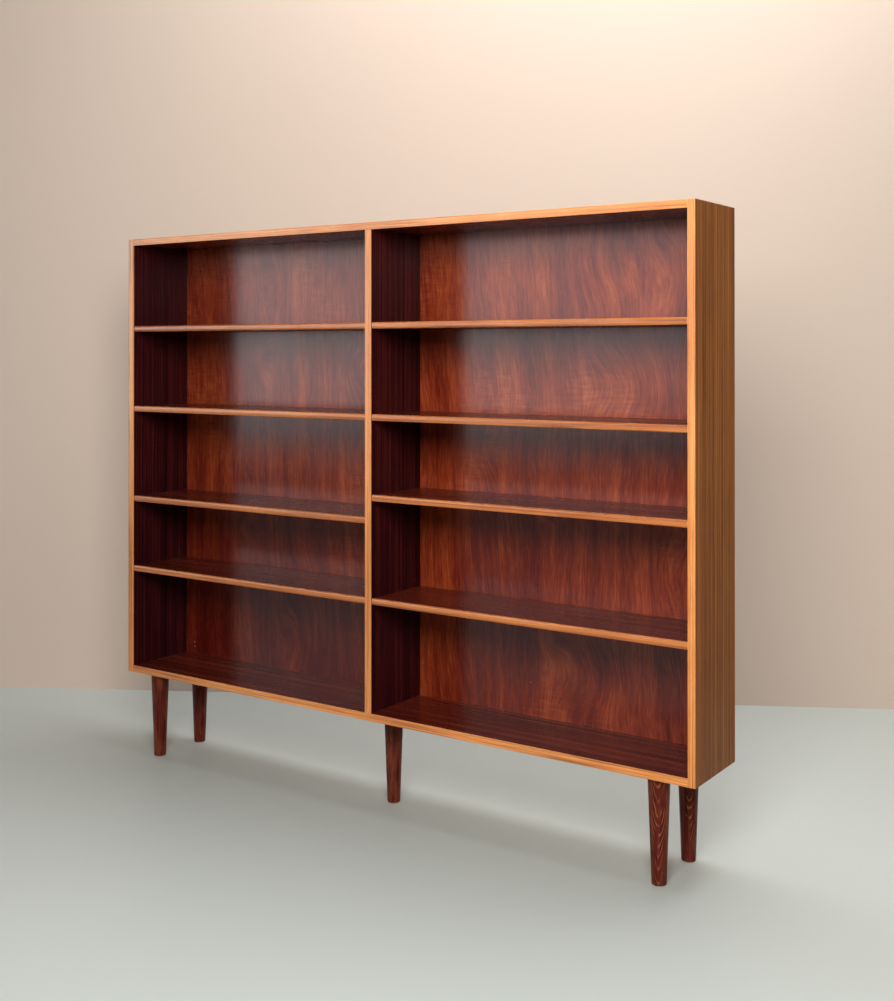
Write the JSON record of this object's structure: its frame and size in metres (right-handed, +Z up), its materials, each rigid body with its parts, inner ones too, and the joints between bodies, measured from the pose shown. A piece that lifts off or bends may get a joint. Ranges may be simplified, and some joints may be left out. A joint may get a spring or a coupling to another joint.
{
  "type": "bookcase with adjustable shelves",
  "caption": "Wide, shallow open bookcase on tapered round legs, with a centre divider and lipped shelves that slide onto hidden wire supports.",
  "frame": {"origin": "on the floor, under the middle of the case in width and depth", "axes": "+X to the viewer's right across the front, +Y from the open front to the back, +Z up"},
  "size_m": [1.83, 0.228, 1.543],
  "materials": {
    "side_veneer": "satin lacquered veneer with fine straight upright stripes",
    "inner_veneer": "dark red-brown veneer, semi-gloss lacquer",
    "back_veneer": "figured red-brown veneer with crotch figure, semi-gloss lacquer",
    "edge_lipping": "light orange-tan solid wood, satin",
    "leg_wood": "dark stained turned wood with lighter open grain, semi-gloss",
    "tongue_wood": "bare pale plywood, hidden in the joints",
    "steel": "bright drawn wire and rolled bolts"
  },
  "bodies": {
    "case": {"left_side_panel": "side_veneer", "right_side_panel": "side_veneer", "top_board": "inner_veneer", "bottom_board": "inner_veneer", "divider": "inner_veneer", "left_side_lipping": "edge_lipping", "right_side_lipping": "edge_lipping", "top_lipping": "edge_lipping", "bottom_lipping": "edge_lipping", "divider_lipping": "edge_lipping", "left_back_panel": "back_veneer", "right_back_panel": "back_veneer", "left_bottom_tongue": "tongue_wood", "right_bottom_tongue": "tongue_wood", "divider_bottom_tongue": "tongue_wood", "left_top_tongue": "tongue_wood", "right_top_tongue": "tongue_wood", "divider_top_tongue": "tongue_wood", "front_left_leg": "leg_wood", "front_left_leg_bolt": "steel", "front_right_leg": "leg_wood", "front_right_leg_bolt": "steel", "back_left_leg": "leg_wood", "back_left_leg_bolt": "steel", "back_right_leg": "leg_wood", "back_right_leg_bolt": "steel", "centre_leg": "leg_wood", "centre_leg_bolt": "steel", "left_shelf_1_left_wire": "steel", "left_shelf_1_right_wire": "steel", "left_shelf_2_left_wire": "steel", "left_shelf_2_right_wire": "steel", "left_shelf_3_left_wire": "steel", "left_shelf_3_right_wire": "steel", "left_shelf_4_left_wire": "steel", "left_shelf_4_right_wire": "steel", "right_shelf_1_left_wire": "steel", "right_shelf_1_right_wire": "steel", "right_shelf_2_left_wire": "steel", "right_shelf_2_right_wire": "steel", "right_shelf_3_left_wire": "steel", "right_shelf_3_right_wire": "steel", "right_shelf_4_left_wire": "steel", "right_shelf_4_right_wire": "steel"},
    "left_shelf_1": {"left_shelf_1": "inner_veneer", "left_shelf_1_lipping": "edge_lipping"},
    "left_shelf_2": {"left_shelf_2": "inner_veneer", "left_shelf_2_lipping": "edge_lipping"},
    "left_shelf_3": {"left_shelf_3": "inner_veneer", "left_shelf_3_lipping": "edge_lipping"},
    "left_shelf_4": {"left_shelf_4": "inner_veneer", "left_shelf_4_lipping": "edge_lipping"},
    "right_shelf_1": {"right_shelf_1": "inner_veneer", "right_shelf_1_lipping": "edge_lipping"},
    "right_shelf_2": {"right_shelf_2": "inner_veneer", "right_shelf_2_lipping": "edge_lipping"},
    "right_shelf_3": {"right_shelf_3": "inner_veneer", "right_shelf_3_lipping": "edge_lipping"},
    "right_shelf_4": {"right_shelf_4": "inner_veneer", "right_shelf_4_lipping": "edge_lipping"}
  },
  "joints": [
    {"name": "left_shelf_1_pull", "type": "slide", "parent": "case", "child": "left_shelf_1", "axis": [0, -1, 0], "range_m": [0, 0.2]},
    {"name": "left_shelf_2_pull", "type": "slide", "parent": "case", "child": "left_shelf_2", "axis": [0, -1, 0], "range_m": [0, 0.2]},
    {"name": "left_shelf_3_pull", "type": "slide", "parent": "case", "child": "left_shelf_3", "axis": [0, -1, 0], "range_m": [0, 0.2]},
    {"name": "left_shelf_4_pull", "type": "slide", "parent": "case", "child": "left_shelf_4", "axis": [0, -1, 0], "range_m": [0, 0.2]},
    {"name": "right_shelf_1_pull", "type": "slide", "parent": "case", "child": "right_shelf_1", "axis": [0, -1, 0], "range_m": [0, 0.2]},
    {"name": "right_shelf_2_pull", "type": "slide", "parent": "case", "child": "right_shelf_2", "axis": [0, -1, 0], "range_m": [0, 0.2]},
    {"name": "right_shelf_3_pull", "type": "slide", "parent": "case", "child": "right_shelf_3", "axis": [0, -1, 0], "range_m": [0, 0.2]},
    {"name": "right_shelf_4_pull", "type": "slide", "parent": "case", "child": "right_shelf_4", "axis": [0, -1, 0], "range_m": [0, 0.2]}
  ]
}
